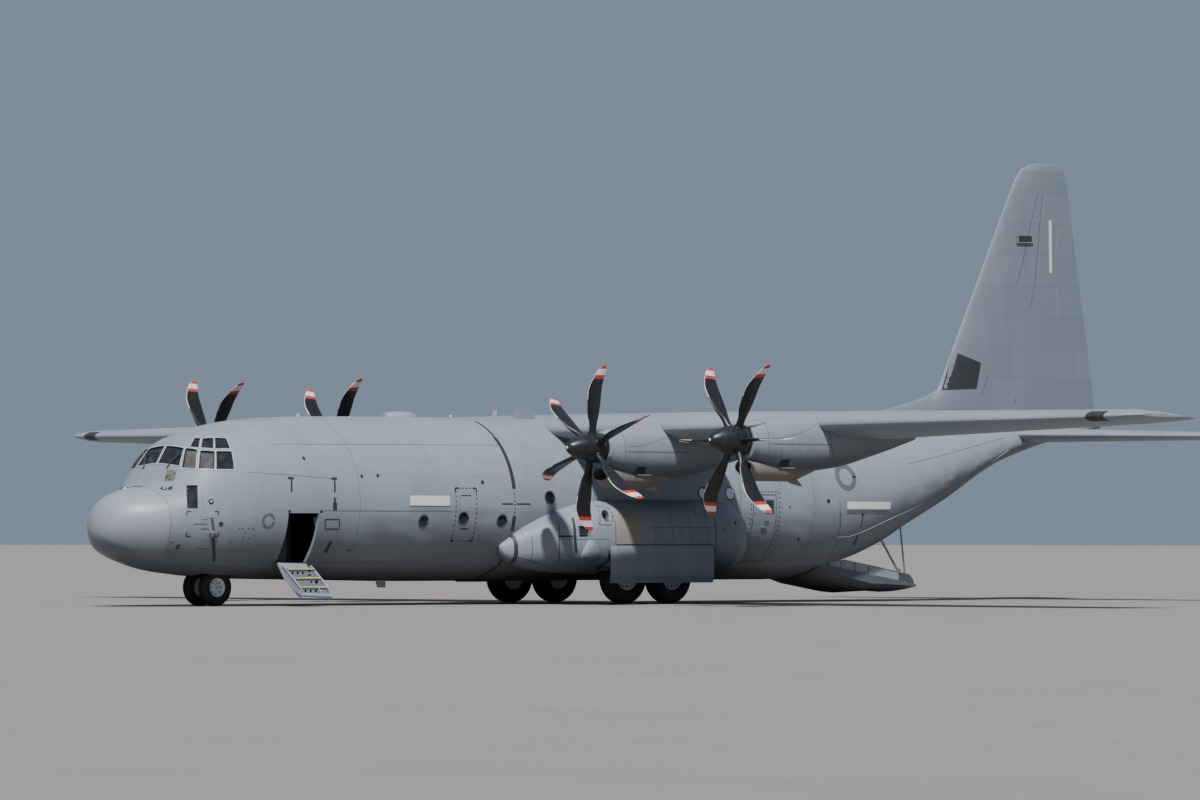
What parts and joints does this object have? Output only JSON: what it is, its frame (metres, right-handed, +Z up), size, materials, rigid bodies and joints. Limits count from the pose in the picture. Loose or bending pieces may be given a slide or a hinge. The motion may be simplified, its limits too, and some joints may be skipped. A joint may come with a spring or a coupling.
{
  "type": "half-scale military transport plane model",
  "caption": "High-wing propeller transport plane, parked on its wheels, with its rear ramp lowered, cargo door raised and crew stair open.",
  "frame": {"origin": "centre of the bounding box at the floor, under the tyres", "axes": "+X to port across the span, +Y aft along the fuselage, +Z up"},
  "size_m": [20.205, 17.185, 5.92],
  "materials": {
    "paint": "matt grey",
    "dark_paint": "matt dark grey",
    "interior": "matt pale grey-green",
    "black": "semi-gloss black",
    "rubber": "matt black",
    "steel": "satin",
    "cloth": "woven",
    "glass": "tinted"
  },
  "bodies": {
    "airframe": {"radome": "dark_paint", "forward_fuselage": "paint", "mid_fuselage": "paint", "aft_fuselage": "paint", "tail_cone": "paint", "paratroop_door_port": "paint", "paratroop_door_starboard": "paint", "cargo_floor": "interior", "flight_deck": "interior", "instrument_panel": "black", "crew_seat_port": "cloth", "crew_seat_starboard": "cloth", "flight_deck_glass": "glass", "nose_gear_bay": "dark_paint", "wing_centre": "paint", "outer_wing_port": "paint", "outer_wing_starboard": "paint", "flap_port": "paint", "flap_starboard": "paint", "stabiliser": "paint", "fin": "paint", "sponson_port": "paint", "sponson_starboard": "paint", "main_gear_door_port": "paint", "main_gear_door_starboard": "paint", "main_gear_leg_port": "steel", "main_gear_leg_starboard": "steel", "nose_gear_leg": "steel", "nacelle_outboard_port": "paint", "engine_outboard_port": "steel", "nacelle_inboard_port": "paint", "engine_inboard_port": "steel", "nacelle_inboard_starboard": "paint", "engine_inboard_starboard": "steel", "nacelle_outboard_starboard": "paint", "engine_outboard_starboard": "steel"},
    "propeller_outboard_port": {"propeller_outboard_port": "black"},
    "propeller_inboard_port": {"propeller_inboard_port": "black"},
    "propeller_inboard_starboard": {"propeller_inboard_starboard": "black"},
    "propeller_outboard_starboard": {"propeller_outboard_starboard": "black"},
    "main_wheel_port_fore": {"main_tyre_port_fore": "rubber", "main_rim_port_fore": "steel"},
    "main_wheel_port_aft": {"main_tyre_port_aft": "rubber", "main_rim_port_aft": "steel"},
    "main_wheel_starboard_fore": {"main_tyre_starboard_fore": "rubber", "main_rim_starboard_fore": "steel"},
    "main_wheel_starboard_aft": {"main_tyre_starboard_aft": "rubber", "main_rim_starboard_aft": "steel"},
    "nose_steering": {"nose_steering_fork": "steel"},
    "nose_wheels": {"nose_wheel_port": "rubber", "nose_wheel_starboard": "rubber"},
    "crew_door": {"crew_door_stair": "dark_paint"},
    "cargo_ramp": {"cargo_ramp": "dark_paint"},
    "cargo_door": {"cargo_door": "dark_paint"},
    "aileron_port": {"aileron_port": "paint"},
    "aileron_starboard": {"aileron_starboard": "paint"},
    "elevator_port": {"elevator_port": "paint"},
    "elevator_starboard": {"elevator_starboard": "paint"},
    "rudder": {"rudder": "paint"}
  },
  "joints": [
    {"name": "propeller_outboard_port_spin", "type": "hinge", "parent": "airframe", "child": "propeller_outboard_port", "pos_m": [5.03, -2.8925, 1.99], "axis": [0, 1, 0], "continuous": true},
    {"name": "propeller_inboard_port_spin", "type": "hinge", "parent": "airframe", "child": "propeller_inboard_port", "pos_m": [2.47, -2.8925, 1.925], "axis": [0, 1, 0], "continuous": true},
    {"name": "propeller_inboard_starboard_spin", "type": "hinge", "parent": "airframe", "child": "propeller_inboard_starboard", "pos_m": [-2.47, -2.8925, 1.925], "axis": [0, 1, 0], "continuous": true},
    {"name": "propeller_outboard_starboard_spin", "type": "hinge", "parent": "airframe", "child": "propeller_outboard_starboard", "pos_m": [-5.03, -2.8925, 1.99], "axis": [0, 1, 0], "continuous": true},
    {"name": "main_wheel_port_fore_spin", "type": "hinge", "parent": "airframe", "child": "main_wheel_port_fore", "pos_m": [1.085, -1.1275, 0.33], "axis": [1, 0, 0], "continuous": true},
    {"name": "main_wheel_port_aft_spin", "type": "hinge", "parent": "airframe", "child": "main_wheel_port_aft", "pos_m": [1.085, -0.3625, 0.33], "axis": [1, 0, 0], "continuous": true},
    {"name": "main_wheel_starboard_fore_spin", "type": "hinge", "parent": "airframe", "child": "main_wheel_starboard_fore", "pos_m": [-1.085, -1.1275, 0.33], "axis": [1, 0, 0], "continuous": true},
    {"name": "main_wheel_starboard_aft_spin", "type": "hinge", "parent": "airframe", "child": "main_wheel_starboard_aft", "pos_m": [-1.085, -0.3625, 0.33], "axis": [1, 0, 0], "continuous": true},
    {"name": "nose_steering_turn", "type": "hinge", "parent": "airframe", "child": "nose_steering", "pos_m": [0, -6.8975, 0.225], "axis": [0, 0, 1], "range_deg": [-60, 60]},
    {"name": "nose_wheels_spin", "type": "hinge", "parent": "nose_steering", "child": "nose_wheels", "pos_m": [0, -6.8975, 0.225], "axis": [1, 0, 0], "continuous": true},
    {"name": "crew_door_close", "type": "hinge", "parent": "airframe", "child": "crew_door", "pos_m": [0.7915, -6.2525, 0.505], "axis": [0, -1, 0], "range_deg": [0, 104]},
    {"name": "cargo_ramp_close", "type": "hinge", "parent": "airframe", "child": "cargo_ramp", "pos_m": [0, 2.6075, 0.5], "axis": [1, 0, 0], "range_deg": [-3.3, 27.8]},
    {"name": "cargo_door_close", "type": "hinge", "parent": "airframe", "child": "cargo_door", "pos_m": [0, 6.1475, 1.81], "axis": [1, 0, 0], "range_deg": [0, 27]},
    {"name": "aileron_port_tilt", "type": "hinge", "parent": "airframe", "child": "aileron_port", "pos_m": [6.3, -0.30965, 2.15705], "axis": [0.9984, -0.0537, 0.0155], "range_deg": [-20, 20]},
    {"name": "aileron_starboard_tilt", "type": "hinge", "parent": "airframe", "child": "aileron_starboard", "pos_m": [-6.3, -0.30965, 2.15705], "axis": [0.9984, 0.0537, -0.0155], "range_deg": [-20, 20]},
    {"name": "elevator_port_tilt", "type": "hinge", "parent": "airframe", "child": "elevator_port", "pos_m": [0.49, 7.4025, 2.21735], "axis": [0.9999, 0, -0.0156], "range_deg": [-15, 40]},
    {"name": "elevator_starboard_tilt", "type": "hinge", "parent": "airframe", "child": "elevator_starboard", "pos_m": [-0.49, 7.4025, 2.21735], "axis": [0.9999, 0, 0.0156], "range_deg": [-15, 40]},
    {"name": "rudder_turn", "type": "hinge", "parent": "airframe", "child": "rudder", "pos_m": [0, 7.7725, 2.575], "axis": [0, 0, 1], "range_deg": [-35, 35]}
  ],
  "couplings": [
    {"joint": "aileron_starboard_tilt", "follows": "aileron_port_tilt", "ratio": -1},
    {"joint": "elevator_starboard_tilt", "follows": "elevator_port_tilt", "ratio": 1}
  ]
}
